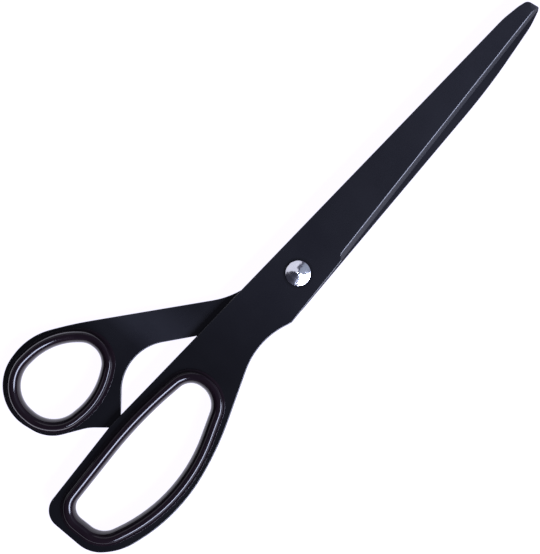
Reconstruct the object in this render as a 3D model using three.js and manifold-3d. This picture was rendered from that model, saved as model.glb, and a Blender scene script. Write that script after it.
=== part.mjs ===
// Fabric shears of the ten-inch class: two flat steel halves on one pivot bolt, with a
// two-shell plastic liner in each bow. Drawn closed.
//
// Millimetres, +Z up, +X towards the tips. The origin is on the pivot axis, in the plane that
// the shears rest on. The front half (finger bow) lies above the rear half (thumb bow).

import * as THREE from 'three';
import { mergeVertices } from 'three/addons/utils/BufferGeometryUtils.js';
import Module from 'manifold-3d';

const wasm = await Module();
wasm.setup();

// ---------------------------------------------------------------- driving dimensions

const PLATE = 2.4; // thickness of each steel half
const PLATE_GAP = 0.1; // air between the two halves
const LIP = 2.0; // how far the liners stand proud of the plates' outer faces
const SEAT = 0.05; // clearance where two pieces lie face to face

const HEIGHT = 2 * (LIP + PLATE) + PLATE_GAP;
const MIDDLE = HEIGHT / 2;
const REAR_OUTSIDE = LIP;
const REAR_INSIDE = LIP + PLATE;
const FRONT_INSIDE = REAR_INSIDE + PLATE_GAP;
const FRONT_OUTSIDE = FRONT_INSIDE + PLATE;

// Blade grinding, the same on both halves.
const HEEL = [13.8, -8.62]; // start of the front half's cutting edge
const POINT = [127.2, -1.64]; // end of the front half's cutting edge
const BEVEL_SLOPE = Math.tan(THREE.MathUtils.degToRad(53)); // bevel against the inner face
const EDGE_LAND = 0.15; // plate left standing at the cutting edge
const TAPER_START = 14; // the outer face falls from here to the tip
const TIP_THINNING = 0.7;
const HOLLOW_RADIUS = 60; // hollow grind of the inner face
const HOLLOW_DEPTH = 0.16; // at its start, falling to nothing at its end
const HOLLOW_START = [17, 0.6];
const HOLLOW_END = [117, 1.6];
const EDGE_OVERLAP = THREE.MathUtils.degToRad(0.5); // how far the closed edges have crossed

// Pivot bolt, washers and nut.
const HEAD_RADIUS = 4.55;
const HEAD_RIM = 0.3;
const HEAD_HEIGHT = 1.85;
const HEAD_DOMING = 0.12; // how much steeper the cone is at its rim than on the average
const SHANK_RADIUS = 2.75;
const SHANK_CHAMFER = 0.3;
const NECK_RADIUS = 3.4;
const NECK_FLAT = 2.85; // half the distance across the neck's two flats
const RUNNING = 0.1; // radial clearance round the neck and the shank
const RECESS_RADIUS = 7.2; // counterbore in the rear half for the friction washer
const RECESS_DEPTH = 0.45;
const WASHER_RADIUS = 7.0;
const NUT_RADIUS = 5.2;
const NUT_HEIGHT = 1.4;
const NUT_CHAMFER = 0.5;
const NUT_SLOT_WIDTH = 1.5;
const NUT_SLOT_DEPTH = 0.7;
const CONE_RADIUS = 4.9;
const CONE_THICKNESS = 0.35;

// Liners: distances out from the opening's edge, and heights from the middle plane towards
// the outer face of the plate that the liner sits in.
const LIP_WIDTH = 4.5;
const WAIST = 0.55; // how far the rounded inner wall bulges into the opening in the middle plane
const CREST_START = 2.1;
const CREST_END = 2.5;
const SHOULDER_FOOT = 3.7; // where the shoulder meets the thin flange round it
const FLANGE_HEIGHT = 0.65; // at the shoulder, above the seat
const FLANGE_EDGE = 0.4; // at the outer edge
const FLANGE_CORNER = 0.2;
const SLEEVE = 1.5;
const SLEEVE_CLEARANCE = 0.1;
const TONGUE = 0.7; // thickness of the deep shell's tongue
const TONGUE_CLEARANCE = 0.08;
const TONGUE_TOP = 1.2;
const SKIRT_BOTTOM = 0.35; // end of the shallow shell's skirt, which laps the tongue

const ARC_STEP = THREE.MathUtils.degToRad(10);
const ROUND_SEGMENTS = 48;

// ---------------------------------------------------------------- outlines
// Corners [x, y, radius], counter-clockwise, joined by straight lines and rounded by arcs.

const FRONT_OUTLINE = [
  [...HEEL, 60],
  [...POINT, 0.6],
  [126.1, 3.3, 2.3],
  [122.3, 4.4, 7],
  [115.6, 5.5, 30],
  [-84.4, 13.8, 20],
  [-123.7, 11.5, 6.7],
  [-123.2, -10.6, 12.3],
  [-114.9, -18.7, 24],
  [-91.2, -25.75, 66],
  [-64.0, -19.65, 111],
  [-27.4, -4.9, 28.5],
  [-16.2, -9.35, 1.8],
  [-14.5, -9.95, 0.8],
];

const REAR_OUTLINE = [
  [120.4, -3.7, 30],
  [127.2, -1.75, 1.2],
  [126.0, 2.85, 1.2],
  [13.8, 8.75, 60],
  [-14.4, 9.85, 6],
  [-23.3, 13.0, 31],
  [-67.1, 48.3, 144],
  [-80.5, 57.0, 23.4],
  [-108.2, 54.5, 16.9],
  [-103.3, 27.7, 14.0],
  [-90.3, 19.1, 17],
  [-82.9, 10.65, 2.5], // lobe that meets the finger liner and stops the closing
  [-61.7, 28.6, 18],
  [-12.4, -9.95, 12],
  [94.3, -7.05, 250],
];

const FINGER_OPENING = [
  [-116.2, -9.8, 8.2],
  [-88.0, -21.9, 58],
  [-51.7, -7.6, 8.3],
  [-52.8, 4.2, 6.5],
  [-75.3, 7.5, 160],
  [-117.0, 5.2, 5.5],
];

const THUMB_OPENING = [
  [-99.4, 27.9, 11.4],
  [-79.8, 24.8, 25],
  [-67.0, 31.8, 7.8],
  [-67.4, 39.6, 7.2],
  [-75.8, 49.5, 23.4],
  [-99.7, 51.1, 11.5],
];

/** Rounds each corner with an arc. Gives { point, normal }, the normal right of travel. */
function roundedOutline(corners) {
  return corners.flatMap(([x, y, radius], i) => {
    const corner = new THREE.Vector2(x, y);
    const back = new THREE.Vector2(...corners.at(i - 1)).sub(corner);
    const ahead = new THREE.Vector2(...corners[(i + 1) % corners.length]).sub(corner);
    const turn = Math.PI - back.angleTo(ahead);
    const side = -Math.sign(back.cross(ahead)); // +1 where the path turns left
    const room = 0.98 * Math.min(back.length(), ahead.length());
    const reach = Math.min(radius * Math.tan(turn / 2), room);
    const fillet = reach / Math.tan(turn / 2);
    const travel = back.normalize().negate();
    const inward = new THREE.Vector2(-travel.y, travel.x).multiplyScalar(side);
    const centre = corner.addScaledVector(travel, -reach).addScaledVector(inward, fillet);
    const steps = Math.max(1, Math.ceil(turn / ARC_STEP));
    return Array.from({ length: steps + 1 }, (_, k) => {
      const spoke = inward.clone().rotateAround(new THREE.Vector2(), (side * turn * k) / steps);
      const point = centre.clone().addScaledVector(spoke, -fillet);
      return { point, normal: spoke.multiplyScalar(-side) };
    });
  });
}

/** A rounded outline, moved out by a distance along its normals. */
function outlinePoints(corners, distance = 0) {
  return roundedOutline(corners).map(({ point, normal }) => point.addScaledVector(normal, distance));
}

function circlePoints(radius) {
  return Array.from({ length: ROUND_SEGMENTS }, (_, k) => {
    const angle = (2 * Math.PI * k) / ROUND_SEGMENTS;
    return new THREE.Vector2(radius * Math.cos(angle), radius * Math.sin(angle));
  });
}

/** A circle cut flat along its two sides. */
function doubleFlatPoints(radius, flat) {
  return circlePoints(radius).map(({ x, y }) => new THREE.Vector2(x, clampTo(y, flat)));
}

function clampTo(value, limit) {
  return THREE.MathUtils.clamp(value, -limit, limit);
}

// ---------------------------------------------------------------- solids

function prism(points, fromZ, toZ, holes = []) {
  const shape = new THREE.Shape(points);
  shape.holes = holes.map((hole) => new THREE.Path(hole));
  const settings = { depth: toZ - fromZ, bevelEnabled: false };
  return new THREE.ExtrudeGeometry(shape, settings).translate(0, 0, fromZ);
}

/** A section of points [y, z], extruded along X. */
function barAlongX(section, fromX, toX) {
  const points = section.map(([y, z]) => new THREE.Vector2(y, z));
  const bar = prism(points, fromX, toX);
  const yAxis = new THREE.Vector3(0, 1, 0);
  const zAxis = new THREE.Vector3(0, 0, 1);
  const xAxis = new THREE.Vector3(1, 0, 0);
  return bar.applyMatrix4(new THREE.Matrix4().makeBasis(yAxis, zAxis, xAxis));
}

/** A turned solid: profile of points [radius, z], rising along its outside. */
function turned(profile) {
  const points = profile.map(([radius, z]) => new THREE.Vector2(radius, z));
  return new THREE.LatheGeometry(points, ROUND_SEGMENTS).rotateX(Math.PI / 2);
}

/** A closed section of points [out, z], carried round a closed outline. */
function ring(corners, section) {
  const outline = roundedOutline(corners);
  const flat = section.map(([out, z]) => new THREE.Vector2(out, z));
  if (THREE.ShapeUtils.isClockWise(flat)) flat.reverse();
  const positions = outline.flatMap(({ point, normal }) =>
    flat.flatMap(({ x: out, y: z }) => [point.x + normal.x * out, point.y + normal.y * out, z]),
  );
  const indices = [];
  for (let i = 0; i < outline.length; i += 1) {
    const here = i * flat.length;
    const next = ((i + 1) % outline.length) * flat.length;
    for (let j = 0; j < flat.length; j += 1) {
      const up = (j + 1) % flat.length;
      indices.push(here + j, next + j, next + up);
      indices.push(here + j, next + up, here + up);
    }
  }
  const geometry = new THREE.BufferGeometry();
  geometry.setAttribute('position', new THREE.Float32BufferAttribute(positions, 3));
  geometry.setIndex(indices);
  return geometry;
}

function toSolid(geometry) {
  const bare = geometry.clone();
  bare.deleteAttribute('normal');
  bare.deleteAttribute('uv');
  const merged = mergeVertices(bare);
  const vertProperties = new Float32Array(merged.attributes.position.array);
  const triVerts = new Uint32Array(merged.index.array);
  return new wasm.Manifold(new wasm.Mesh({ numProp: 3, vertProperties, triVerts }));
}

function toGeometry(solid) {
  const { vertProperties, triVerts } = solid.getMesh();
  const geometry = new THREE.BufferGeometry();
  geometry.setAttribute('position', new THREE.BufferAttribute(vertProperties, 3));
  geometry.setIndex(new THREE.BufferAttribute(triVerts, 1));
  return geometry;
}

function cut(body, tools) {
  return toGeometry(tools.reduce((rest, tool) => rest.subtract(toSolid(tool)), toSolid(body)));
}

function join(bodies) {
  return toGeometry(bodies.map(toSolid).reduce((whole, body) => whole.add(body)));
}

// ---------------------------------------------------------------- steel halves

/** Removes the plate outside the bevel, along the front half's cutting edge. */
function bevelTool() {
  const edge = new THREE.Vector2(...POINT).sub(new THREE.Vector2(...HEEL));
  const foot = FRONT_INSIDE + EDGE_LAND;
  const above = PLATE + 1;
  const section = [
    [-1, foot - BEVEL_SLOPE],
    [above / BEVEL_SLOPE, foot + above],
    [-1, foot + above],
  ];
  return barAlongX(section, 0, edge.length() + 2)
    .rotateZ(edge.angle())
    .translate(...HEEL, 0);
}

/** Thins the front half from its outer face, more towards the tip. */
function taperTool() {
  const length = POINT[0] - TAPER_START;
  const beyond = 5;
  const reach = 20;
  const depth = 2;
  const section = [
    [-reach, 0],
    [reach, 0],
    [reach, depth],
    [-reach, depth],
  ];
  return barAlongX(section, -beyond, length + beyond)
    .rotateY(Math.atan2(TIP_THINNING, length))
    .translate(TAPER_START, 0, FRONT_OUTSIDE);
}

/** Hollows the front half's inner face along the middle of the blade. */
function hollowTool() {
  const middle = new THREE.Vector2(...HOLLOW_END).sub(new THREE.Vector2(...HOLLOW_START));
  const halfAngle = Math.acos(1 - (2 * HOLLOW_DEPTH) / HOLLOW_RADIUS);
  const steps = 12;
  const section = Array.from({ length: steps + 1 }, (_, k) => {
    const angle = halfAngle * ((2 * k) / steps - 1);
    const y = -HOLLOW_RADIUS * Math.sin(angle);
    return [y, HOLLOW_DEPTH - HOLLOW_RADIUS * (1 - Math.cos(angle))];
  });
  return barAlongX(section, 0, middle.length())
    .rotateY(Math.atan2(HOLLOW_DEPTH, middle.length()))
    .rotateZ(middle.angle())
    .translate(...HOLLOW_START, FRONT_INSIDE);
}

/** Turns a grinding tool over, from the front half's place to the rear half's. */
function turnedOver(tool) {
  return tool
    .translate(0, 0, -MIDDLE)
    .rotateX(Math.PI)
    .translate(0, 0, MIDDLE)
    .rotateZ(EDGE_OVERLAP);
}

function frontBlade() {
  const holes = [
    outlinePoints(FINGER_OPENING, SLEEVE + SLEEVE_CLEARANCE),
    doubleFlatPoints(NECK_RADIUS + RUNNING, NECK_FLAT + RUNNING),
  ];
  const plate = prism(outlinePoints(FRONT_OUTLINE), FRONT_INSIDE, FRONT_OUTSIDE, holes);
  return cut(plate, [taperTool(), bevelTool(), hollowTool()]);
}

function rearBlade() {
  const holes = [
    outlinePoints(THUMB_OPENING, SLEEVE + SLEEVE_CLEARANCE),
    circlePoints(SHANK_RADIUS + RUNNING),
  ];
  const plate = prism(outlinePoints(REAR_OUTLINE), REAR_OUTSIDE, REAR_INSIDE, holes);
  const recess = prism(circlePoints(RECESS_RADIUS), REAR_INSIDE - RECESS_DEPTH, REAR_INSIDE + 1);
  const grinding = [taperTool(), bevelTool(), hollowTool()].map(turnedOver);
  return cut(plate, [recess, ...grinding]);
}

// ---------------------------------------------------------------- pivot

/** Bolt with a low cone head in front, a keyed neck in the front half and a round shank. */
function pivotBolt() {
  const seat = FRONT_OUTSIDE + SEAT;
  const rise = HEAD_HEIGHT - HEAD_RIM;
  const steps = 6;
  const profile = [
    [0, 0],
    [SHANK_RADIUS - SHANK_CHAMFER, 0],
    [SHANK_RADIUS, SHANK_CHAMFER],
    [SHANK_RADIUS, seat],
    [HEAD_RADIUS, seat],
  ];
  for (let k = 0; k <= steps; k += 1) {
    const share = k / steps;
    const height = rise * (share + HEAD_DOMING * share * (1 - share));
    profile.push([HEAD_RADIUS * (1 - share), seat + HEAD_RIM + height]);
  }
  const neck = prism(doubleFlatPoints(NECK_RADIUS, NECK_FLAT), FRONT_INSIDE + SEAT, seat + HEAD_RIM);
  return join([turned(profile), neck]);
}

/** Round nut behind the rear half, with two crossed spanner slots in its outer face. */
function adjustingNut() {
  const bore = SHANK_RADIUS + RUNNING;
  const body = turned([
    [bore, 0],
    [NUT_RADIUS - NUT_CHAMFER, 0],
    [NUT_RADIUS, NUT_CHAMFER],
    [NUT_RADIUS, NUT_HEIGHT],
    [bore, NUT_HEIGHT],
    [bore, 0],
  ]);
  const width = NUT_SLOT_WIDTH / 2;
  const slotSection = [
    [-width, -1],
    [width, -1],
    [width, NUT_SLOT_DEPTH],
    [-width, NUT_SLOT_DEPTH],
  ];
  const slot = barAlongX(slotSection, -2 * NUT_RADIUS, 2 * NUT_RADIUS);
  return cut(body, [slot, slot.clone().rotateZ(Math.PI / 2)]);
}

/** Cone washer between the nut and the rear half, touching the nut inside and the half outside. */
function springWasher() {
  const bore = SHANK_RADIUS + RUNNING;
  const bottom = NUT_HEIGHT + SEAT;
  const top = REAR_OUTSIDE - SEAT;
  return turned([
    [bore, bottom],
    [CONE_RADIUS, top - CONE_THICKNESS],
    [CONE_RADIUS, top],
    [bore, bottom + CONE_THICKNESS],
    [bore, bottom],
  ]);
}

function frictionWasher() {
  const bore = SHANK_RADIUS + RUNNING;
  const bottom = REAR_INSIDE - RECESS_DEPTH + SEAT;
  const top = FRONT_INSIDE - SEAT;
  return turned([
    [bore, bottom],
    [WASHER_RADIUS, bottom],
    [WASHER_RADIUS, top],
    [bore, top],
    [bore, bottom],
  ]);
}

// ---------------------------------------------------------------- liners

/** How far out the inner wall is: part of an ellipse that is narrowest in the middle plane. */
function wallAt(height) {
  const share = height / MIDDLE;
  return (CREST_START + WAIST) * (1 - Math.sqrt(1 - share * share)) - WAIST;
}

/** Section points from the crest down the inner wall to a height. */
function innerWall(lowest, steps) {
  const start = Math.PI / 2;
  const end = Math.asin(lowest / MIDDLE);
  return Array.from({ length: steps + 1 }, (_, k) => {
    const height = MIDDLE * Math.sin(start + ((end - start) * k) / steps);
    return [wallAt(height), height];
  });
}

/** Points [out, height] from the lip's seat over the thin flange and up its shoulder to the crest. */
function outerShoulder(seat, steps) {
  const foot = seat + FLANGE_HEIGHT;
  const flange = [
    [LIP_WIDTH, seat],
    [LIP_WIDTH, seat + FLANGE_EDGE - FLANGE_CORNER],
    [LIP_WIDTH - FLANGE_CORNER, seat + FLANGE_EDGE],
  ];
  const shoulder = Array.from({ length: steps + 1 }, (_, k) => {
    const angle = (Math.PI / 2) * (k / steps);
    const out = CREST_END + (SHOULDER_FOOT - CREST_END) * Math.cos(angle);
    return [out, foot + (MIDDLE - foot) * Math.sin(angle)];
  });
  return [...flange, ...shoulder];
}

/** The shell on the outer face of its plate, with a skirt that laps the other shell's tongue. */
function shallowShell(opening, side) {
  const seat = PLATE_GAP / 2 + PLATE + SEAT;
  const parting = TONGUE_TOP + SEAT;
  const section = [
    [SLEEVE, SKIRT_BOTTOM],
    [SLEEVE, seat],
    ...outerShoulder(seat, 4),
    ...innerWall(parting, 6),
    [TONGUE + TONGUE_CLEARANCE, parting],
    [TONGUE + TONGUE_CLEARANCE, SKIRT_BOTTOM],
  ];
  return ring(opening, section.map(([out, height]) => [out, MIDDLE + side * height]));
}

/** The shell against the inner face of its plate, with a tongue inside the other shell's skirt. */
function deepShell(opening, side) {
  const tongueFoot = SKIRT_BOTTOM - SEAT;
  const section = [
    ...outerShoulder(0, 5).map(([out, height]) => [out, -height]),
    ...innerWall(-TONGUE_TOP, 8).map(([out, height]) => [out, -height]),
    [TONGUE, TONGUE_TOP],
    [TONGUE, tongueFoot],
    [SLEEVE, tongueFoot],
    [SLEEVE, 0],
  ];
  return ring(opening, section.map(([out, height]) => [out, MIDDLE + side * height]));
}

// ---------------------------------------------------------------- assembly

const STEEL = { color: 0x25252b, roughness: 0.5, metalness: 0.6 };
const POLISHED = { color: 0xb9bcc4, roughness: 0.18, metalness: 1.0 };
const ZINC = { color: 0x8d9196, roughness: 0.4, metalness: 1.0 };
const SPRING_STEEL = { color: 0x55585e, roughness: 0.35, metalness: 1.0 };
const WASHER_PLASTIC = { color: 0xd8d5c8, roughness: 0.6, metalness: 0.0 };
const LINER_PLASTIC = { color: 0x120a0f, roughness: 0.25, metalness: 0.0 };

const FRONT = 1; // the finger bow's outer face is up
const REAR = -1; // the thumb bow's outer face is down

const group = new THREE.Group();

function addPiece(name, geometry, finish) {
  const piece = new THREE.Mesh(geometry, new THREE.MeshStandardMaterial(finish));
  piece.name = name;
  group.add(piece);
}

addPiece('front_blade', frontBlade(), STEEL);
addPiece('rear_blade', rearBlade(), STEEL);
addPiece('pivot_bolt', pivotBolt(), POLISHED);
addPiece('adjusting_nut', adjustingNut(), ZINC);
addPiece('spring_washer', springWasher(), SPRING_STEEL);
addPiece('friction_washer', frictionWasher(), WASHER_PLASTIC);
addPiece('finger_liner_front', shallowShell(FINGER_OPENING, FRONT), LINER_PLASTIC);
addPiece('finger_liner_rear', deepShell(FINGER_OPENING, FRONT), LINER_PLASTIC);
addPiece('thumb_liner_front', deepShell(THUMB_OPENING, REAR), LINER_PLASTIC);
addPiece('thumb_liner_rear', shallowShell(THUMB_OPENING, REAR), LINER_PLASTIC);

export default group;
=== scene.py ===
"""Fabric shears, closed and lying on a pale table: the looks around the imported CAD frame.

Shapes are drawn in millimetres and become metres when a mesh is made. Both steel halves are drawn
alike, as if each were the front one: x runs towards the tips, the cutting edge is on the -y side,
and heights are measured up from the middle plane, so that the plate's outer face is on top.
"""

import math

import bmesh
import bpy
import numpy as np
from mathutils import Matrix, Vector
from mathutils.geometry import delaunay_2d_cdt


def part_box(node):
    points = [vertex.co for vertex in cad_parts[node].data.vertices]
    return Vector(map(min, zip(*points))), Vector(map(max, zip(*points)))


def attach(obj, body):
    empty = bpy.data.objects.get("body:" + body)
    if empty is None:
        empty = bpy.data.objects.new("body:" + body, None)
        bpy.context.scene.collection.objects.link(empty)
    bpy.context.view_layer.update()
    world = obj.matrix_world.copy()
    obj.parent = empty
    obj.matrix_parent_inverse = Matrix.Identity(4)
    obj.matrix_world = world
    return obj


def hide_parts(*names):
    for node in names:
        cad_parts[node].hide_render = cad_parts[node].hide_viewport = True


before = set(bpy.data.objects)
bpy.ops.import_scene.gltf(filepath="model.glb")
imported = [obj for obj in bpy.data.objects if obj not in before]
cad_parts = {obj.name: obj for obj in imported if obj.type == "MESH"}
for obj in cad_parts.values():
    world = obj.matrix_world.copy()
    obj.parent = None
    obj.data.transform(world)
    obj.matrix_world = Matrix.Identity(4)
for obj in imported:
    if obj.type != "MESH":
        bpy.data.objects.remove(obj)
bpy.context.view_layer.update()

# ---------------------------------------------------------------- driving dimensions (mm)

MM = 0.001
LOW, HIGH = 0, 1


def level(node, end):
    """The height of a CAD node's lowest or highest point."""
    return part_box(node)[end].z / MM


FRONT_INSIDE = level("front_blade", LOW)
FRONT_OUTSIDE = level("front_blade", HIGH)
REAR_INSIDE = level("rear_blade", HIGH)
REAR_OUTSIDE = level("rear_blade", LOW)
MIDDLE = (FRONT_INSIDE + REAR_INSIDE) / 2
INNER_FACE = FRONT_INSIDE - MIDDLE  # heights above the middle plane
OUTER_FACE = FRONT_OUTSIDE - MIDDLE
CREST = level("finger_liner_front", HIGH) - MIDDLE

# Blade grinding, the same on both halves.
HEEL = Vector((13.8, -8.62))  # the cutting edge runs from here
POINT = Vector((127.2, -1.64))
BEVEL_SLOPE = math.tan(math.radians(53))
EDGE_LAND = 0.15
TAPER_START = 14
TIP_THINNING = 0.7
TAPER_SLOPE = TIP_THINNING / (POINT.x - TAPER_START)
RUN_OUT_START = 15.8  # towards the heel the bevel climbs out of the plate on a curve
RUN_OUT_LENGTH = 2.3
RUN_OUT_RISE = 2.25
RIDGE_LAND = 0.09  # depth to which the ridge between bevel and face is dressed off
LAND_SLOPE = math.tan(math.radians(25))
RIDGE_BLEND = 0.12  # depth over which the two edges of that land are rounded
RIDGE_WEAR = 3  # the ridge is rubbed over this many times the depth of its land
OUTER_ROUND = 0.35  # rounding of the plate's edges on its outer face
OUTER_ROUND_TURNS = (0, 12, 25, 40, 55, 72)  # the mesh's lines round that edge, in degrees
INNER_ROUND = 0.15  # and on its inner face along the blade
KEEN_WIDTH = 4 * INNER_ROUND  # this near the cutting edge the inner face is not rounded
HANDLE_ROUND = 0.35  # and on its inner face behind the pivot
HANDLE_START = -14
HANDLE_RAMP = 8
HOLLOW_START = Vector((17, 0.6))
HOLLOW_END = Vector((117, 1.6))
HOLLOW_RADIUS = 60
HOLLOW_DEPTH = 0.16
HOLLOW_RAMP = 3  # length over which it starts
EDGE_OVERLAP = math.radians(0.5)  # the rear half is turned this far about the pivot

# Pivot bolt, washers and nut.
SEAT = 0.05
HEAD_RADIUS = 4.55
HEAD_RIM = 0.3
HEAD_CORNER = 0.25
HEAD_CHAMFER = 0.1
HEAD_DOMING = 0.12  # how much steeper the cone is at its rim than on the average
DIMPLE_RADIUS = 0.35
DIMPLE_DEPTH = 0.12
DIMPLE_SHAPE = ((0.8, 0.3), (0.4, 1), (0.1, 1))  # shares of its radius and depth
SHANK_RADIUS = 2.75
SHANK_CHAMFER = 0.3
NECK_RADIUS = 3.4
NECK_FLAT = 2.85
RUNNING = 0.1
RECESS_RADIUS = 7.2
RECESS_DEPTH = 0.45
RECESS_WALL = 0.01  # half the width over which its wall falls
WASHER_RADIUS = 7.0
WASHER_EDGE = 0.06
NUT_RADIUS = 5.2
NUT_CHAMFER = 0.5
NUT_SLOT_WIDTH = 1.5
NUT_SLOT_DEPTH = 0.7
NUT_EDGE = 0.08
CONE_RADIUS = 4.9
CONE_THICKNESS = 0.35
CONE_EDGE = 0.08

# Liners: distances out from the opening's edge, heights from the middle plane.
LIP_WIDTH = 4.5
WAIST = 0.55  # how far the rounded inner wall bulges into the opening in the middle plane
CREST_START = 2.1
CREST_END = 2.35
SHOULDER_FOOT = 3.7
SHOULDER_FULLNESS = 0.82  # 1 makes the shoulder an ellipse, less makes it squarer
FLANGE_HEIGHT = 0.65
FLANGE_EDGE = 0.4
FLANGE_CORNER = 0.06
SLEEVE = 1.5
SLEEVE_CLEARANCE = 0.1
TONGUE = 0.7
TONGUE_CLEARANCE = 0.08
TONGUE_TOP = 1.2
SKIRT_BOTTOM = 0.35
PARTING_CHAMFER = 0.12

# Fineness of the meshes.
CORNER_SHARE = 0.98  # the most of its shorter side that the rounding of a corner takes
GUIDE_REACH = 20  # a guide across the blade ends this far from its middle
ARC_STEP = math.radians(3)
LONGEST_STEP = 3.5
ROUND_SEGMENTS = 96
RUN_OUT_STEPS = 12
HOLLOW_STEPS = 24
RIM_STEPS = 4
CONE_STEPS = 20
FLANGE_STEPS = 3
SHOULDER_STEPS = 20
SHALLOW_WALL_STEPS = 22
DEEP_WALL_STEPS = 30

# Corners [x, y, radius], counter-clockwise, joined by straight lines and rounded by arcs.
FRONT_OUTLINE = [
    [HEEL.x, HEEL.y, 60],
    [POINT.x, POINT.y, 0.6],
    [126.1, 3.3, 2.3],
    [122.3, 4.4, 7],
    [115.6, 5.5, 30],
    [-84.4, 13.8, 20],
    [-123.7, 11.5, 6.7],
    [-123.2, -10.6, 12.3],
    [-114.9, -18.7, 24],
    [-91.2, -25.75, 66],
    [-64.0, -19.65, 111],
    [-27.4, -4.9, 28.5],
    [-16.2, -9.35, 1.8],
    [-14.5, -9.95, 0.8],
]
REAR_OUTLINE = [
    [120.4, -3.7, 30],
    [127.2, -1.75, 1.2],
    [126.0, 2.85, 1.2],
    [13.8, 8.75, 60],
    [-14.4, 9.85, 6],
    [-23.3, 13.0, 31],
    [-67.1, 48.3, 144],
    [-80.5, 57.0, 23.4],
    [-108.2, 54.5, 16.9],
    [-103.3, 27.7, 14.0],
    [-90.3, 19.1, 17],
    [-82.9, 10.65, 2.5],
    [-61.7, 28.6, 18],
    [-12.4, -9.95, 12],
    [94.3, -7.05, 250],
]
FINGER_OPENING = [
    [-116.2, -9.8, 8.2],
    [-88.0, -21.9, 58],
    [-51.7, -7.6, 8.3],
    [-52.8, 4.2, 6.5],
    [-75.3, 7.5, 160],
    [-117.0, 5.2, 5.5],
]
THUMB_OPENING = [
    [-99.4, 27.9, 11.4],
    [-79.8, 24.8, 25],
    [-67.0, 31.8, 7.8],
    [-67.4, 39.6, 7.2],
    [-75.8, 49.5, 23.4],
    [-99.7, 51.1, 11.5],
]

# Camera and table.
PICTURE_HEIGHT = 195.8  # what the picture's height covers at the front half's outer face
PICTURE_CENTRE = (-7.6, 6.5)
PICTURE_TURN = math.radians(-48.4)
CAMERA_DISTANCE = 580
SENSOR = 36
TABLE_REACH = 3.0  # metres
TABLE_GAP = 0.03  # keeps the table's surface just below the faces that rest on it


# ---------------------------------------------------------------- outlines


def rounded(corners):
    """Rounds each corner [x, y, radius] with an arc. Gives the points and their outward normals."""
    points, normals = [], []
    for i, (x, y, radius) in enumerate(corners):
        corner = Vector((x, y))
        back = Vector(corners[i - 1][:2]) - corner
        ahead = Vector(corners[(i + 1) % len(corners)][:2]) - corner
        turn = math.pi - back.angle(ahead)
        side = -math.copysign(1, back.cross(ahead))  # +1 where the path turns left
        room = CORNER_SHARE * min(back.length, ahead.length)
        reach = min(radius * math.tan(turn / 2), room)
        fillet = reach / math.tan(turn / 2)
        travel = -back.normalized()
        inward = side * Vector((-travel.y, travel.x))
        centre = corner - reach * travel + fillet * inward
        steps = math.ceil(max(turn / ARC_STEP, turn * fillet / LONGEST_STEP))
        for k in range(steps + 1):
            spoke = Matrix.Rotation(side * turn * k / steps, 2) @ inward
            points.append(centre - fillet * spoke)
            normals.append(-side * spoke)
    return stepped(points, normals)


def stepped(points, normals):
    """Divides the straight stretches of a closed outline into even steps."""
    more_points, more_normals = [], []
    for i, (point, normal) in enumerate(zip(points, normals)):
        following = (i + 1) % len(points)
        steps = max(1, math.ceil((points[following] - point).length / LONGEST_STEP))
        for k in range(steps):
            more_points.append(point.lerp(points[following], k / steps))
            more_normals.append(normal.lerp(normals[following], k / steps))
    return more_points, more_normals


def offset_loop(corners, distance):
    """A rounded outline, moved out by a distance."""
    return [point + distance * normal for point, normal in zip(*rounded(corners))]


def circle(radius, flat=None):
    """A circle, or one cut flat along its two sides."""
    limit = flat or radius
    points = []
    for k in range(ROUND_SEGMENTS):
        turn = math.tau * k / ROUND_SEGMENTS
        side = max(-limit, min(limit, radius * math.sin(turn)))
        points.append(Vector((radius * math.cos(turn), side)))
    return points


def to_rear(point):
    """From the drawing of a half to the rear half's place, seen from above."""
    return Matrix.Rotation(EDGE_OVERLAP, 2) @ Vector((point[0], -point[1]))


def from_rear(corners):
    """The rear half's corners, from their place to the drawing of a half."""
    back = Matrix.Rotation(-EDGE_OVERLAP, 2)
    placed = [(back @ Vector((x, y)), radius) for x, y, radius in corners]
    return [[point.x, -point.y, radius] for point, radius in reversed(placed)]


# ---------------------------------------------------------------- meshes


def finish_mesh(name, vertices, faces, sharp=35, weighted=True):
    """A smooth-shaded object from vertices in millimetres, with its faces turned out."""
    mesh = bpy.data.meshes.new(name)
    mesh.from_pydata([Vector(v) * MM for v in vertices], [], faces)
    mesh.validate()
    work = bmesh.new()
    work.from_mesh(mesh)
    bmesh.ops.recalc_face_normals(work, faces=work.faces)
    work.to_mesh(mesh)
    work.free()
    mesh.shade_smooth()
    mesh.set_sharp_from_angle(angle=math.radians(sharp))
    piece = bpy.data.objects.new(name, mesh)
    bpy.context.scene.collection.objects.link(piece)
    if weighted:
        modifier = piece.modifiers.new("weighted_normals", "WEIGHTED_NORMAL")
        modifier.keep_sharp = True
    return piece


def loft(name, loops, closed=False, sharp=35):
    """Joins loops of equally many points, and caps the ends unless the last meets the first."""
    count = len(loops[0])
    vertices = [point for loop in loops for point in loop]
    faces = []
    pairs = len(loops) if closed else len(loops) - 1
    for j in range(pairs):
        here, following = j * count, (j + 1) % len(loops) * count
        for i in range(count):
            onward = (i + 1) % count
            faces.append((here + i, here + onward, following + onward, following + i))
    if not closed:
        faces.append(tuple(range(count)))
        faces.append(tuple(len(vertices) - count + i for i in range(count)))
    return finish_mesh(name, vertices, faces, sharp)


def turned(name, profile, closed=True, sharp=35):
    """A turned piece from [radius, z], or [radius, z, flat] where its sides are cut flat."""
    loops = []
    for radius, z, *flat in profile:
        loops.append([(point.x, point.y, z) for point in circle(radius, *flat)])
    return loft(name, loops, closed, sharp)


def ring(name, corners, section):
    """A closed section of [out, z], carried round an opening."""
    points, normals = rounded(corners)
    loops = []
    for out, z in section:
        loops.append([(*(point + out * normal), z) for point, normal in zip(points, normals)])
    return loft(name, loops, closed=True, sharp=40)


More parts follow.
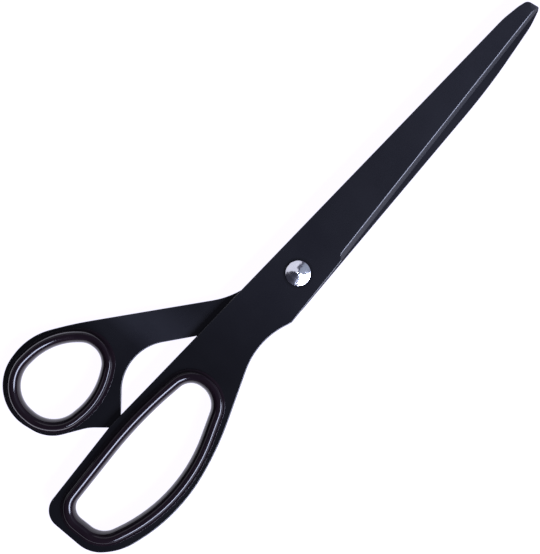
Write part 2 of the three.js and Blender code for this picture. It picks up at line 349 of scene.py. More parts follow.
def box(name, size, centre):
    """A block, as a cutting tool."""
    half = Vector(size) / 2
    signs = [(x, y, z) for x in (-1, 1) for y in (-1, 1) for z in (-1, 1)]
    vertices = [Vector(centre) + Vector(half[i] * s[i] for i in range(3)) for s in signs]
    faces = [(0, 1, 3, 2), (4, 6, 7, 5), (0, 4, 5, 1), (2, 3, 7, 6), (0, 2, 6, 4), (1, 5, 7, 3)]
    return finish_mesh(name, vertices, faces, weighted=False)


def cut_and_bevel(piece, tools, width):
    """Cuts the tools out of a piece, and rounds the edges that are left."""
    for tool in tools:
        modifier = piece.modifiers.new(tool.name, "BOOLEAN")
        modifier.operation = "DIFFERENCE"
        modifier.solver = "EXACT"
        modifier.object = tool
    modifier = piece.modifiers.new("edges", "BEVEL")
    modifier.width = width * MM
    modifier.segments = 2
    modifier.limit_method = "ANGLE"
    modifier.angle_limit = math.radians(40)
    bpy.context.view_layer.update()
    depsgraph = bpy.context.evaluated_depsgraph_get()
    shaped = bpy.data.meshes.new_from_object(piece.evaluated_get(depsgraph))
    piece.modifiers.clear()
    piece.data = shaped
    for tool in tools:
        bpy.data.objects.remove(tool)
    shaped.shade_smooth()
    shaped.set_sharp_from_angle(angle=math.radians(30))
    return piece


# ---------------------------------------------------------------- steel halves


def distance_to_loop(points, loop):
    """How far each point is from a closed loop."""
    start = np.array(loop)
    along = np.roll(start, -1, axis=0) - start
    length = np.maximum((along**2).sum(axis=1), 1e-12)
    nearest = np.full(len(points), np.inf)
    for begin, step, square in zip(start, along, length):
        share = np.clip(((points - begin) @ step) / square, 0, 1)
        gap = points - begin - share[:, None] * step
        nearest = np.minimum(nearest, (gap**2).sum(axis=1))
    return np.sqrt(nearest)


def inside_loops(points, loops):
    """Which points are in the first loop and outside the others, by counting crossings."""
    crossings = np.zeros(len(points), int)
    for loop in loops:
        start = np.array(loop)
        for (x0, y0), (x1, y1) in zip(start, np.roll(start, -1, axis=0)):
            spans = (y0 > points[:, 1]) != (y1 > points[:, 1])
            rise = y1 - y0 if y1 != y0 else 1
            crosses = x0 + (points[:, 1] - y0) * (x1 - x0) / rise > points[:, 0]
            crossings += spans & crosses
    return crossings % 2 == 1


def triangulate(loops, guides):
    """Triangles that fill the first loop around the others, with edges along every guide."""
    points, edges = [], []
    for line, closed in [(loop, True) for loop in loops] + guides:
        first = len(points)
        points.extend(Vector(point) for point in line)
        edges.extend((first + k, first + k + 1) for k in range(len(line) - 1))
        if closed:
            edges.append((len(points) - 1, first))
    found = delaunay_2d_cdt(points, edges, [], 0, 1e-4)
    flat = np.array([tuple(point) for point in found[0]])
    triangles = np.array([tuple(face) for face in found[2]])
    kept = triangles[inside_loops(flat[triangles].mean(axis=1), loops)]
    used = np.unique(kept)
    return flat[used], np.searchsorted(used, kept)


def into_blade():
    """The direction from the cutting edge into the blade."""
    along = (POINT - HEEL).normalized()
    return Vector((-along.y, along.x))


def taper(x):
    """How far the outer face has fallen towards the tip."""
    return TAPER_SLOPE * np.maximum(0, x - TAPER_START)


def run_out(x):
    """How far the bevel has climbed out of the plate towards the heel."""
    return RUN_OUT_RISE * np.maximum(0, (RUN_OUT_START - x) / RUN_OUT_LENGTH) ** 2


def bevel_width(x):
    """How wide the bevel is at x along the blade."""
    height = OUTER_FACE - INNER_FACE - EDGE_LAND - taper(x) - run_out(x)
    return float(height) / BEVEL_SLOPE


def round_off(distance, radius):
    """How far a rounded edge has fallen at a distance from it."""
    inside = np.clip(radius - distance, 0, radius)
    return radius - np.sqrt(radius**2 - inside**2)


def smooth_min(a, b, blend):
    """The lower of two heights, with a rounded ridge between them."""
    mix = np.clip(blend - np.abs(a - b), 0, blend) / blend
    return np.minimum(a, b) - mix * mix * blend / 4


def blade_depth(points):
    """How far each point is from the cutting edge into the blade."""
    return (points - np.array(HEEL)) @ np.array(into_blade())


def faces_over(points):
    """The heights of the outer face and of the bevel over each point."""
    x = points[:, 0]
    face = OUTER_FACE - taper(x)
    bevel = INNER_FACE + EDGE_LAND + BEVEL_SLOPE * blade_depth(points) + run_out(x)
    return face, bevel


def outer_height(points, edge):
    """The outer surface's height over each point, from how far the points are from the outline."""
    face, bevel = faces_over(points)
    from_ridge = (bevel - face) / BEVEL_SLOPE
    land = face - RIDGE_LAND + LAND_SLOPE * from_ridge
    plain = smooth_min(face - round_off(edge, OUTER_ROUND), land, RIDGE_BLEND)
    return smooth_min(plain, bevel, RIDGE_BLEND)


def hollow_depth(points):
    """Depth of the hollow grinding of the inner face."""
    axis = HOLLOW_END - HOLLOW_START
    away = points - np.array(HOLLOW_START)
    share = away @ np.array(axis) / axis.length_squared
    across = away @ np.array((-axis.y, axis.x)) / axis.length
    ramp = np.clip(share * axis.length / HOLLOW_RAMP, 0, 1)
    depth = HOLLOW_DEPTH * (1 - share) - across**2 / (2 * HOLLOW_RADIUS)
    return ramp * np.maximum(depth, 0)


def inner_height(points, edge, recess):
    """The inner surface's height over each point. The cutting edge is left keen."""
    keen = (points[:, 0] > HEEL.x) & (blade_depth(points) < KEEN_WIDTH)
    handle = np.clip((HANDLE_START - points[:, 0]) / HANDLE_RAMP, 0, 1)
    radius = INNER_ROUND + (HANDLE_ROUND - INNER_ROUND) * handle
    rounding = np.where(keen, 0, round_off(edge, radius))
    height = INNER_FACE + rounding + hollow_depth(points)
    return np.where(np.hypot(*points.T) < recess, INNER_FACE + RECESS_DEPTH, height)


def ridge_guides():
    """Lines along the ridge between bevel and face, close enough together to round it."""
    outer_slope, inner_slope = LAND_SLOPE, BEVEL_SLOPE - LAND_SLOPE
    offsets = [(RIDGE_LAND + share * RIDGE_BLEND) / outer_slope for share in (-0.4, 0, 0.4, 1)]
    offsets += [(share * RIDGE_BLEND - RIDGE_LAND) / inner_slope for share in (-1, -0.4, 0, 0.4)]
    curved = np.linspace(RUN_OUT_START - RUN_OUT_LENGTH, RUN_OUT_START, RUN_OUT_STEPS)
    straight = np.arange(RUN_OUT_START + LONGEST_STEP, POINT.x, LONGEST_STEP)
    guides = []
    for offset in offsets:
        line = []
        for x in [*curved.tolist(), *straight.tolist()]:
            foot = HEEL.lerp(POINT, (x - HEEL.x) / (POINT.x - HEEL.x))
            line.append(foot + (bevel_width(x) + offset) * into_blade())
        guides.append((line, False))
    return guides


def hollow_guides():
    """Lines along the hollow, from its start nearly to the point where it ends."""
    axis = HOLLOW_END - HOLLOW_START
    side = Vector((-axis.y, axis.x)).normalized()
    guides = []
    for share in (-1, -0.7, -0.35, 0, 0.35, 0.7, 1):
        line = []
        for along in np.linspace(0, 0.98, HOLLOW_STEPS).tolist():
            half = math.sqrt(2 * HOLLOW_RADIUS * HOLLOW_DEPTH * (1 - along))
            line.append(HOLLOW_START + along * axis + share * half * side)
        guides.append((line, False))
    return guides


def plate(corners, holes, recess=0.0):
    """One steel half as drawn: its outline, rounded edges, bevel, ridge, taper and hollow.

    Gives the vertices and the faces."""
    outline = offset_loop(corners, 0)
    guides = []
    for turn in OUTER_ROUND_TURNS:
        inset = OUTER_ROUND * (1 - math.sin(math.radians(turn)))
        guides.append((offset_loop(corners, -inset), True))
    guides += ridge_guides() + hollow_guides()
    taper_line = [Vector((TAPER_START, -GUIDE_REACH)), Vector((TAPER_START, GUIDE_REACH))]
    guides.append((taper_line, False))
    if recess:
        guides += [(circle(recess + step), True) for step in (-RECESS_WALL, RECESS_WALL)]
    flat, triangles = triangulate([outline, *holes], guides)
    edge = distance_to_loop(flat, outline)
    top = outer_height(flat, edge)
    bottom = inner_height(flat, edge, recess)
    count = len(flat)
    vertices = [(*point, height) for point, height in zip(flat, top)]
    vertices += [(*point, height) for point, height in zip(flat, bottom)]
    faces = [tuple(t) for t in triangles]
    faces += [tuple(t[::-1] + count) for t in triangles]
    edges = {(t[k], t[(k + 1) % 3]) for t in triangles.tolist() for k in range(3)}
    for a, b in edges:
        if (b, a) not in edges:
            faces.append((a + count, b + count, b, a))
    return vertices, faces


def blade_marks(piece, drawn):
    """Stores where the bevel is and how near each point is to a rubbed edge, for the material."""
    flat = np.array([v[:2] for v in drawn])
    height = np.array([v[2] for v in drawn])
    face, bevel = faces_over(flat)
    on_blade = flat[:, 0] > HEEL.x - 1
    ground = on_blade & (bevel < face) & (height > INNER_FACE + EDGE_LAND / 2)
    ridge = np.clip(1 - np.abs(bevel - face) / (RIDGE_WEAR * RIDGE_LAND), 0, 1) * on_blade
    below_face = height < face - 0.01
    rounding = np.clip(1 - (face - height) / OUTER_ROUND, 0, 1) * below_face
    rubbed = np.maximum(ridge, rounding)
    for name, values in (("ground", ground), ("rubbed", rubbed)):
        attribute = piece.data.attributes.new(name, "FLOAT", "POINT")
        attribute.data.foreach_set("value", values.astype(np.float32))


def front_half():
    opening = offset_loop(FINGER_OPENING, SLEEVE + SLEEVE_CLEARANCE)
    keyhole = circle(NECK_RADIUS + RUNNING, NECK_FLAT + RUNNING)
    drawn, faces = plate(FRONT_OUTLINE, [opening, keyhole])
    placed = [(x, y, MIDDLE + h) for x, y, h in drawn]
    piece = finish_mesh("front_half_steel", placed, faces)
    blade_marks(piece, drawn)
    return piece


def rear_half():
    opening = offset_loop(from_rear(THUMB_OPENING), SLEEVE + SLEEVE_CLEARANCE)
    bore = circle(SHANK_RADIUS + RUNNING)
    drawn, faces = plate(from_rear(REAR_OUTLINE), [opening, bore], RECESS_RADIUS)
    placed = [(*to_rear((x, y)), MIDDLE - h) for x, y, h in drawn]
    piece = finish_mesh("rear_half_steel", placed, faces)
    blade_marks(piece, drawn)
    return piece


# ---------------------------------------------------------------- pivot


def pivot_bolt():
    """A low cone-shaped head with a rounded rim and a turned dimple, on a keyed neck and a shank."""
    seat = FRONT_OUTSIDE + SEAT
    top = level("pivot_bolt", HIGH)
    profile = [
        [SHANK_RADIUS - SHANK_CHAMFER, 0],
        [SHANK_RADIUS, SHANK_CHAMFER],
        [SHANK_RADIUS, FRONT_INSIDE + SEAT],
        [NECK_RADIUS, FRONT_INSIDE + SEAT, NECK_FLAT],
        [NECK_RADIUS, seat, NECK_FLAT],
        [HEAD_RADIUS - HEAD_CHAMFER, seat],
        [HEAD_RADIUS, seat + HEAD_CHAMFER],
    ]
    foot = seat + HEAD_RIM
    rise = top - foot
    rim_slope = (1 + HEAD_DOMING) * rise / HEAD_RADIUS
    turn = math.pi / 2 - math.atan(rim_slope)
    low = foot - HEAD_CORNER * math.tan(turn / 2)
    for k in range(RIM_STEPS + 1):  # rounds the corner between the rim and the cone
        angle = turn * k / RIM_STEPS
        radius = HEAD_RADIUS - HEAD_CORNER * (1 - math.cos(angle))
        profile.append([radius, low + HEAD_CORNER * math.sin(angle)])
    for k in range(2, CONE_STEPS + 1):
        share = k / CONE_STEPS * (1 - DIMPLE_RADIUS / HEAD_RADIUS)
        height = rise * (share + HEAD_DOMING * share * (1 - share))
        profile.append([HEAD_RADIUS * (1 - share), foot + height])
    dimple_edge = profile[-1][1]
    for out, down in DIMPLE_SHAPE:
        profile.append([DIMPLE_RADIUS * out, dimple_edge - DIMPLE_DEPTH * down])
    return turned("pivot_bolt_polished", profile, closed=False, sharp=50)


def adjusting_nut():
    """The round nut behind the rear half, with two crossed spanner slots."""
    bore = SHANK_RADIUS + RUNNING
    height = level("adjusting_nut", HIGH)
    body = turned(
        "adjusting_nut_plated",
        [
            [bore, 0],
            [NUT_RADIUS - NUT_CHAMFER, 0],
            [NUT_RADIUS, NUT_CHAMFER],
            [NUT_RADIUS, height],
            [bore, height],
        ],
    )
    depth = 2 * NUT_SLOT_DEPTH
    length = 3 * NUT_RADIUS
    slots = [
        box("slot_x", (length, NUT_SLOT_WIDTH, depth), (0, 0, 0)),
        box("slot_y", (NUT_SLOT_WIDTH, length, depth), (0, 0, 0)),
    ]
    return cut_and_bevel(body, slots, NUT_EDGE)


def spring_washer():
    """The cone washer between the nut and the rear half."""
    bore = SHANK_RADIUS + RUNNING
    bottom, top = level("spring_washer", LOW), level("spring_washer", HIGH)
    return turned(
        "spring_washer_cone",
        [
            [bore, bottom],
            [CONE_RADIUS - CONE_EDGE, top - CONE_THICKNESS],
            [CONE_RADIUS, top - CONE_THICKNESS + CONE_EDGE],
            [CONE_RADIUS, top - CONE_EDGE],
            [CONE_RADIUS - CONE_EDGE, top],
            [bore, bottom + CONE_THICKNESS],
        ],
    )


def friction_washer():
    """The thin disc in the rear half's recess."""
    bore = SHANK_RADIUS + RUNNING
    bottom, top = level("friction_washer", LOW), level("friction_washer", HIGH)
    return turned(
        "friction_washer_disc",
        [
            [bore, bottom],
            [WASHER_RADIUS - WASHER_EDGE, bottom],
            [WASHER_RADIUS, bottom + WASHER_EDGE],
            [WASHER_RADIUS, top - WASHER_EDGE],
            [WASHER_RADIUS - WASHER_EDGE, top],
            [bore, top],
        ],
    )


# ---------------------------------------------------------------- liners


def quarter_turn(steps):
    """Cosine and sine through a quarter circle."""
    angles = [math.pi / 2 * k / steps for k in range(steps + 1)]
    return [(math.cos(a), math.sin(a)) for a in angles]


def shoulder(seat):
    """From the seat, over the thin flange and up the shoulder to the crest."""
    foot = seat + FLANGE_HEIGHT
    points = [[LIP_WIDTH, seat], [LIP_WIDTH, seat + FLANGE_EDGE - FLANGE_CORNER]]
    for cosine, sine in quarter_turn(FLANGE_STEPS)[1:]:
        out = LIP_WIDTH - FLANGE_CORNER * (1 - cosine)
        points.append([out, seat + FLANGE_EDGE - FLANGE_CORNER * (1 - sine)])
    points.append([SHOULDER_FOOT, seat + FLANGE_EDGE])
    for cosine, sine in quarter_turn(SHOULDER_STEPS):
        out = CREST_END + (SHOULDER_FOOT - CREST_END) * max(cosine, 0) ** SHOULDER_FULLNESS
        points.append([out, foot + (CREST - foot) * sine**SHOULDER_FULLNESS])
    return points


def wall_at(height):
    """How far out the inner wall is: part of an ellipse, narrowest in the middle plane."""
    return (CREST_START + WAIST) * (1 - math.sqrt(1 - (height / CREST) ** 2)) - WAIST


def inner_wall(lowest, steps):
    """Section points from the crest down the inner wall, to the chamfer above a height."""
    end = math.asin((lowest + PARTING_CHAMFER) / CREST)
    points = []
    for k in range(steps + 1):
        height = CREST * math.sin(math.pi / 2 + (end - math.pi / 2) * k / steps)
        points.append([wall_at(height), height])
    points.append([wall_at(lowest) + PARTING_CHAMFER, lowest])
    return points


def shallow_section():
    """The shell on its plate's outer face, with a skirt that laps the other shell's tongue."""
    parting = TONGUE_TOP + SEAT
    lap = TONGUE + TONGUE_CLEARANCE
    return [
        [SLEEVE, SKIRT_BOTTOM],
        [SLEEVE, OUTER_FACE + SEAT],
        *shoulder(OUTER_FACE + SEAT),
        *inner_wall(parting, SHALLOW_WALL_STEPS),
        [lap, parting],
        [lap, SKIRT_BOTTOM],
    ]


def deep_section():
    """The shell against its plate's inner face, with the tongue inside the other shell's skirt."""
    foot = SKIRT_BOTTOM - SEAT
    section = [*shoulder(0), *inner_wall(-TONGUE_TOP, DEEP_WALL_STEPS)]
    outside = [[out, -height] for out, height in section]
    return [
        *outside,
        [TONGUE, TONGUE_TOP],
        [TONGUE, foot],
        [SLEEVE, foot],
        [SLEEVE, 0],
    ]


def liner(name, opening, section, side):
    """One shell; side is +1 where its plate's outer face is up and -1 where it is down."""
    return ring(name, opening, [[out, MIDDLE + side * height] for out, height in section])


# ---------------------------------------------------------------- materials


def set_stops(color_ramp, stops):
    """Gives a colour ramp its stops, each a position from 0 to 1 and a colour."""
    elements = color_ramp.elements
    while len(elements) < len(stops):
        elements.new(0.5)
    for element, (position, colour) in zip(elements, stops):
        element.position = position
        element.color = colour


class Nodes:
    """A material's nodes, added by type name with their inputs as keywords or links."""

    def __init__(self, name):
        self.material = bpy.data.materials.new(name)
        self.material.use_nodes = True
        self.tree = self.material.node_tree
        self.shader = self.tree.nodes["Principled BSDF"]
        self.place = self.add("ShaderNodeTexCoord").outputs["Object"]

    def add(self, kind, inputs=None, **settings):
        node = self.tree.nodes.new(kind)
        for key, value in settings.items():
            setattr(node, key, value)
        for key, value in (inputs or {}).items():
            self.put(node.inputs[key], value)
        return node

    def put(self, socket, value):
        if isinstance(value, bpy.types.NodeSocket):
            self.tree.links.new(value, socket)
        else:
            socket.default_value = value

    def set(self, **inputs):
        """Sets the shader's inputs; an underscore in a keyword stands for a space."""
        for key, value in inputs.items():
            self.put(self.shader.inputs[key.replace("_", " ")], value)

    def noise(self, scale, detail=2.0, roughness=0.5, stretch=None):
        place = self.place
        if stretch:
            place = self.add("ShaderNodeMapping", {"Vector": place, "Scale": stretch}).outputs[0]
        inputs = {"Vector": place, "Scale": scale, "Detail": detail, "Roughness": roughness}
        return self.add("ShaderNodeTexNoise", inputs).outputs[0]

    def ramp(self, value, low, high, from_low=0.3, from_high=0.7):
        """Spreads a value, by default a noise's usual range, evenly from low to high."""
        inputs = {
            "Value": value,
            "From Min": from_low,
            "From Max": from_high,
            "To Min": low,
            "To Max": high,
        }
        return self.add("ShaderNodeMapRange", inputs).outputs[0]

    def graded(self, value, stops):
        """Evenly graded between stops, each a position in millimetres and a result."""
        start, end = stops[0][0], stops[-1][0]
        share = self.ramp(value, 0, 1, start * MM, end * MM)
        node = self.add("ShaderNodeValToRGB", {"Fac": share})
        greys = [((x - start) / (end - start), (grey, grey, grey, 1)) for x, grey in stops]
        set_stops(node.color_ramp, greys)
        return node.outputs[0]

    def blend(self, factor, first, second):
        """Mixes two colours; the numbers are the mix node's colour sockets."""
        node = self.add("ShaderNodeMix", data_type="RGBA")
        self.put(node.inputs["Factor"], factor)
        self.put(node.inputs[6], first)
        self.put(node.inputs[7], second)
        return node.outputs[2]

    def mark(self, name):
        """A value stored on the mesh."""
        return self.add("ShaderNodeAttribute", attribute_name=name).outputs["Fac"]

    def math(self, operation, first, second=0.0, third=0.0):
        node = self.add("ShaderNodeMath", operation=operation)
        for socket, value in zip(node.inputs, (first, second, third)):
            self.put(socket, value)
        return node.outputs[0]

    def turning_marks(self, scale, distortion):
        """Fine rings about the pivot's axis."""
        inputs = {"Vector": self.place, "Scale": scale, "Distortion": distortion, "Detail": 2.0}
        kinds = {"wave_type": "RINGS", "rings_direction": "Z"}
        return self.add("ShaderNodeTexWave", inputs, **kinds).outputs[1]

    def bump(self, height, strength, distance, normal=None):
        inputs = {"Height": height, "Strength": strength, "Distance": distance}
        if normal:
            inputs["Normal"] = normal
        return self.add("ShaderNodeBump", inputs).outputs[0]


COAT_COLOURS = ((0.0055, 0.0055, 0.0072, 1), (0.0068, 0.0068, 0.0088, 1))
COAT_GRAIN = (0.0085, 0.0085, 0.011, 1)
# painted shade: the near-black that the coat is darkened towards by its stops and round the head
COAT_PAINTED_SHADE = (0.0008, 0.0008, 0.0012, 1)
COAT_GROUND = (0.002, 0.002, 0.0034, 1)
COAT_WORN = (0.03, 0.031, 0.04, 1)
CONTACT_SHADE_WIDTH = 1.2  # mm, of the ring of painted contact shadow round the head


def coated_steel(name, shade_and_smoothness_stops):
    """Satin black coating on ground steel, with painted shade: darker, and smoother, along each half
    where its stops say, for the shade on the handles and beside the other half.

    The stops are pairs of an x position, in millimetres, and the share of its colour kept there;
    what is not kept is painted shade."""
    n = Nodes(name)
    along = n.add("ShaderNodeSeparateXYZ", {"Vector": n.place}).outputs["X"]
    shade_and_smoothness = n.graded(along, shade_and_smoothness_stops)
    cloud = n.noise(45, detail=3)
    grain = n.noise(2600, roughness=0.6)
    ground, rubbed = n.mark("ground"), n.mark("rubbed")
    n.set(Base_Color=coat_colour(n, shade_and_smoothness, cloud, grain, ground, rubbed))
    n.set(Roughness=coat_roughness(n, shade_and_smoothness, cloud, grain, ground, rubbed), IOR=1.43)
    n.set(Normal=coat_normal(n, grain, ground, rubbed))
    return n.material


def coat_colour(n, shade_and_smoothness, cloud, grain, ground, rubbed):
    """Clouds and grain; painted shade, deeper black by the stops and in a ring of painted contact
    shadow round the head; lighter where worn.
    """
    coat = n.blend(n.ramp(cloud, 0, 1), *COAT_COLOURS)
    speckled = n.blend(n.ramp(grain, 0, 0.5), coat, COAT_GRAIN)
    # painted shade: the coat darkened by the stops along the half and by the contact shadow round
    # the head
    shaded_coat = n.blend(n.math("MULTIPLY", shade_and_smoothness, painted_contact_shade(n)), COAT_PAINTED_SHADE, speckled)
    bevel = n.blend(n.math("MULTIPLY", ground, 0.9), shaded_coat, COAT_GROUND)
    worn = n.math("MULTIPLY", rubbed, n.ramp(n.noise(420, detail=3), 0.1, 0.5))
    return n.blend(worn, bevel, COAT_WORN)


def painted_contact_shade(n):
    """Painted contact shadow: nearly nothing at the head's rim, rising to 1 outside the shaded ring
    round it.
    """
    across = {0: n.place, 1: (1, 1, 0)}
    flat = n.add("ShaderNodeVectorMath", across, operation="MULTIPLY").outputs[0]
    radius = n.add("ShaderNodeVectorMath", {0: flat}, operation="LENGTH").outputs["Value"]
    return n.ramp(radius, 0.05, 1.0, HEAD_RADIUS * MM, (HEAD_RADIUS + CONTACT_SHADE_WIDTH) * MM)


def coat_roughness(n, shade_and_smoothness, cloud, grain, ground, rubbed):
    """Uneven and satin, smoother by tone and where rubbed, rougher on the bevel."""
    mottled = n.math("ADD", cloud, n.math("MULTIPLY", grain, 0.4))
    rough = n.ramp(mottled, 0.26, 0.32, 0.5, 0.9)
    smoothed = n.math("MULTIPLY", rough, n.ramp(shade_and_smoothness, 0.82, 1.0, 0.0, 1.0))
    ground_rough = n.math("MULTIPLY_ADD", ground, 0.2, smoothed)
    return n.math("MULTIPLY_ADD", rubbed, -0.12, ground_rough)


def coat_normal(n, grain, ground, rubbed):
    """Grinding strokes across the bevel, and grain where the coating is unworn."""
    strokes = n.noise(700, stretch=(6.0, 0.25, 0.25))
    lines = n.bump(n.math("MULTIPLY", strokes, ground), 0.12, 0.00003)
    unworn = n.math("SUBTRACT", 1.0, rubbed)
    return n.bump(n.math("MULTIPLY", grain, unworn), 0.12, 0.00004, lines)


def polished_steel():
    """Turned and polished: fine rings about the axis, faint smears and shallow dents."""
    n = Nodes("polished_steel")
    smear = n.noise(380, detail=4, roughness=0.6)
    n.set(Base_Color=n.blend(n.ramp(smear, 0, 1), (0.60, 0.61, 0.65, 1), (0.74, 0.75, 0.78, 1)))
    n.set(Metallic=1.0, Roughness=n.ramp(smear, 0.08, 0.17), Anisotropic=0.55)
    n.set(Tangent=n.add("ShaderNodeTangent", direction_type="RADIAL", axis="Z").outputs[0])
    turning = n.bump(n.turning_marks(1500, 0.4), 0.05, 0.00002)
    dents = n.bump(n.noise(420, detail=1, roughness=0.4), 0.7, 0.00026, turning)
    n.set(Normal=n.bump(n.noise(2400), 0.1, 0.00002, dents))
    return n.material


def plated_steel():
    """Satin nickel plate with turning marks."""
    n = Nodes("plated_steel")
    cloud = n.noise(500, detail=3)
    n.set(Base_Color=n.blend(n.ramp(cloud, 0, 1), (0.38, 0.39, 0.41, 1), (0.48, 0.49, 0.50, 1)))
    n.set(Metallic=1.0, Roughness=n.ramp(cloud, 0.26, 0.4))
    n.set(Normal=n.bump(n.turning_marks(1200, 0.6), 0.08, 0.00002))
    return n.material


def spring_steel():
    """Blued spring steel, lightly oiled."""
    n = Nodes("spring_steel")
    cloud = n.noise(350, detail=3)
    n.set(Base_Color=n.blend(n.ramp(cloud, 0, 1), (0.17, 0.19, 0.24, 1), (0.26, 0.25, 0.24, 1)))
    n.set(Metallic=1.0, Roughness=n.ramp(cloud, 0.22, 0.38))
    n.set(Normal=n.bump(n.noise(3000), 0.06, 0.00002))
    return n.material


def washer_plastic():
    """Satin nylon, slightly rubbed grey."""
    n = Nodes("washer_plastic")
    cloud = n.noise(260, detail=4)
    n.set(Base_Color=n.blend(n.ramp(cloud, 0, 1), (0.62, 0.60, 0.53, 1), (0.74, 0.72, 0.66, 1)))
    n.set(Roughness=n.ramp(cloud, 0.42, 0.6), Subsurface_Weight=0.1)
    n.set(Normal=n.bump(n.noise(2500), 0.08, 0.00003))
    return n.material


def liner_plastic():
    """Glossy moulded plastic, near black with a purple cast, faintly uneven."""
    n = Nodes("liner_plastic")
    black, purple_black = (0.0035, 0.0016, 0.0028, 1), (0.005, 0.0024, 0.0038, 1)
    n.set(Base_Color=n.blend(n.ramp(n.noise(120, detail=3), 0, 1), black, purple_black))
    n.set(Roughness=n.ramp(n.noise(240, detail=3), 0.10, 0.16), IOR=1.43)
    n.set(Normal=n.bump(n.noise(90, detail=1), 0.015, 0.0001))
    return n.material


def table_top():
    """A pale matt sweep that glows a little, so that shadows on it stay faint."""
    n = Nodes("table_top")
    dark, light = (0.05, 0.05, 0.05, 1), (0.06, 0.06, 0.06, 1)
    n.set(Base_Color=n.blend(n.ramp(n.noise(30), 0, 1), dark, light))
    n.set(Roughness=0.9, Emission_Color=(0.87, 0.85, 1.0, 1), Emission_Strength=1.13)
    n.set(Normal=n.bump(n.noise(1500), 0.03, 0.0001))
    return n.material


# ---------------------------------------------------------------- studio


def softbox(name, azimuth, elevation, size, radiance, colour=(1, 1, 1), distance=0.8):
    """A rectangular light aimed at the pivot, of width and height in metres."""
    data = bpy.data.lights.new(name, "AREA")
    data.shape = "RECTANGLE"
    data.size, data.size_y = size
    data.energy = radiance * math.pi * size[0] * size[1]
    data.color = colour
    light = bpy.data.objects.new(name, data)
    bpy.context.scene.collection.objects.link(light)
    a, e = math.radians(azimuth), math.radians(elevation)
    place = distance * Vector((math.cos(e) * math.cos(a), math.cos(e) * math.sin(a), math.sin(e)))
    light.location = place
    light.rotation_euler = place.to_track_quat("Z", "Y").to_euler()
    return light


def add_camera():
    """Straight above the table, turned so that the tips point to the upper right."""
    data = bpy.data.cameras.new("camera")
    data.sensor_width = SENSOR
    data.lens = SENSOR * CAMERA_DISTANCE / PICTURE_HEIGHT
    camera = bpy.data.objects.new("camera", data)
    camera.location = Vector((*PICTURE_CENTRE, FRONT_OUTSIDE + CAMERA_DISTANCE)) * MM
    camera.rotation_euler = (0, 0, PICTURE_TURN)
    bpy.context.scene.collection.objects.link(camera)
    bpy.context.scene.camera = camera


def add_table():
    """A square just below the plane that the shears rest on."""
    mesh = bpy.data.meshes.new("table")
    signs = [(-1, -1), (1, -1), (1, 1), (-1, 1)]
    corners = [(x * TABLE_REACH, y * TABLE_REACH, -TABLE_GAP * MM) for x, y in signs]
    mesh.from_pydata(corners, [], [(0, 1, 2, 3)])
    table = bpy.data.objects.new("table", mesh)
    table.data.materials.append(table_top())
    bpy.context.scene.collection.objects.link(table)


TENT = (  # its colour from the horizon to straight overhead
    (0.0, (0.22, 0.21, 0.32, 1)),
    (0.4, (0.18, 0.17, 0.27, 1)),
    (0.65, (0.09, 0.09, 0.13, 1)),
    (1.0, (0.15, 0.15, 0.22, 1)),
)
TENT_DARK_SIDE = (-0.6, 0.8, 0)  # towards the thumb bow
TENT_STRENGTH = (1.4, 0.2)  # on the far side and on the dark side
TENT_SPREAD = 0.8  # how far towards each side the strength goes on changing


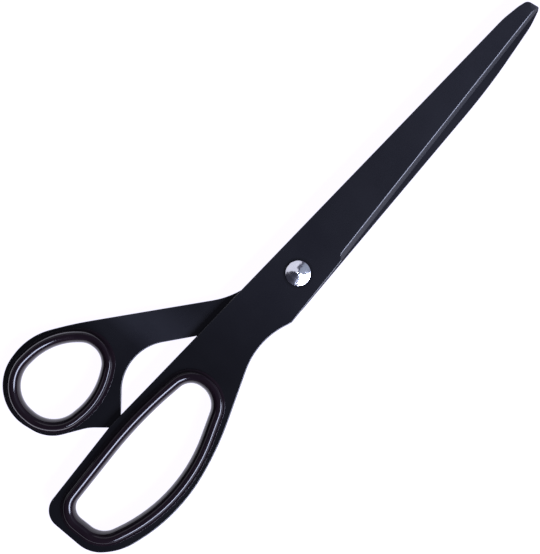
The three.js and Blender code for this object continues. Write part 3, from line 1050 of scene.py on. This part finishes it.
def add_world():
    """A light tent: dim overhead, brighter towards the horizon, darkest towards the thumb bow."""
    world = bpy.data.worlds.new("tent")
    bpy.context.scene.world = world
    world.use_nodes = True
    nodes, links = world.node_tree.nodes, world.node_tree.links
    background = nodes["Background"]
    direction = nodes.new("ShaderNodeTexCoord").outputs["Generated"]
    split = nodes.new("ShaderNodeSeparateXYZ")
    ramp = nodes.new("ShaderNodeValToRGB")
    set_stops(ramp.color_ramp, TENT)
    links.new(direction, split.inputs[0])
    links.new(split.outputs["Z"], ramp.inputs[0])
    links.new(ramp.outputs[0], background.inputs["Color"])
    towards = nodes.new("ShaderNodeVectorMath")
    towards.operation = "DOT_PRODUCT"
    towards.inputs[1].default_value = TENT_DARK_SIDE
    strength = nodes.new("ShaderNodeMapRange")
    strength.inputs["From Min"].default_value = -TENT_SPREAD
    strength.inputs["From Max"].default_value = TENT_SPREAD
    strength.inputs["To Min"].default_value, strength.inputs["To Max"].default_value = TENT_STRENGTH
    links.new(direction, towards.inputs[0])
    links.new(towards.outputs["Value"], strength.inputs["Value"])
    links.new(strength.outputs[0], background.inputs["Strength"])


def add_lights():
    """A strong key over the cutting edges, a weak fill opposite and a card beyond the tips."""
    softbox("key", -92, 42, (1.0, 0.34), 26, (0.70, 0.76, 1.0))
    softbox("fill", 78, 50, (1.2, 0.3), 1.0, (0.88, 0.88, 1.0))
    softbox("side_card", -18, 48, (0.5, 0.4), 0.35, (0.70, 0.82, 1.0))


# ---------------------------------------------------------------- assembly


def place(piece, body, node, slot, material):
    """Puts a piece in its CAD node's place."""
    piece.data.materials.append(material)
    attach(piece, body)
    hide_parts(node)


plastic = liner_plastic()
# The coating's painted shade along each half, from the bow to the tip; the coat is also smoother
# where it is darker.
front_shade_and_smoothness = [(-45, 0.05), (-8, 0.6), (40, 0.6), (90, 1.0)]
rear_shade_and_smoothness = [(-70, 0.1), (-58, 0.3), (-52, 1.0), (-46, 1.0), (-33, 0.3), (0, 0.8)]
front_coat = coated_steel("coated_steel_front", front_shade_and_smoothness)
rear_coat = coated_steel("coated_steel_rear", rear_shade_and_smoothness)
place(front_half(), "finger_half", "front_blade", "blade_steel", front_coat)
place(rear_half(), "thumb_half", "rear_blade", "blade_steel", rear_coat)
place(pivot_bolt(), "finger_half", "pivot_bolt", "polished_steel", polished_steel())
place(adjusting_nut(), "finger_half", "adjusting_nut", "plated_steel", plated_steel())
place(spring_washer(), "finger_half", "spring_washer", "spring_steel", spring_steel())
place(friction_washer(), "finger_half", "friction_washer", "washer_plastic", washer_plastic())
for bow, opening, front_shell, rear_shell, side in (
    ("finger", FINGER_OPENING, shallow_section(), deep_section(), 1),
    ("thumb", THUMB_OPENING, deep_section(), shallow_section(), -1),
):
    for face, section in (("front", front_shell), ("rear", rear_shell)):
        shell = liner(f"{bow}_liner_{face}_shell", opening, section, side)
        place(shell, f"{bow}_half", f"{bow}_liner_{face}", "liner_plastic", plastic)

add_table()
add_world()
add_lights()
add_camera()
bpy.context.scene.view_settings.view_transform = "Standard"
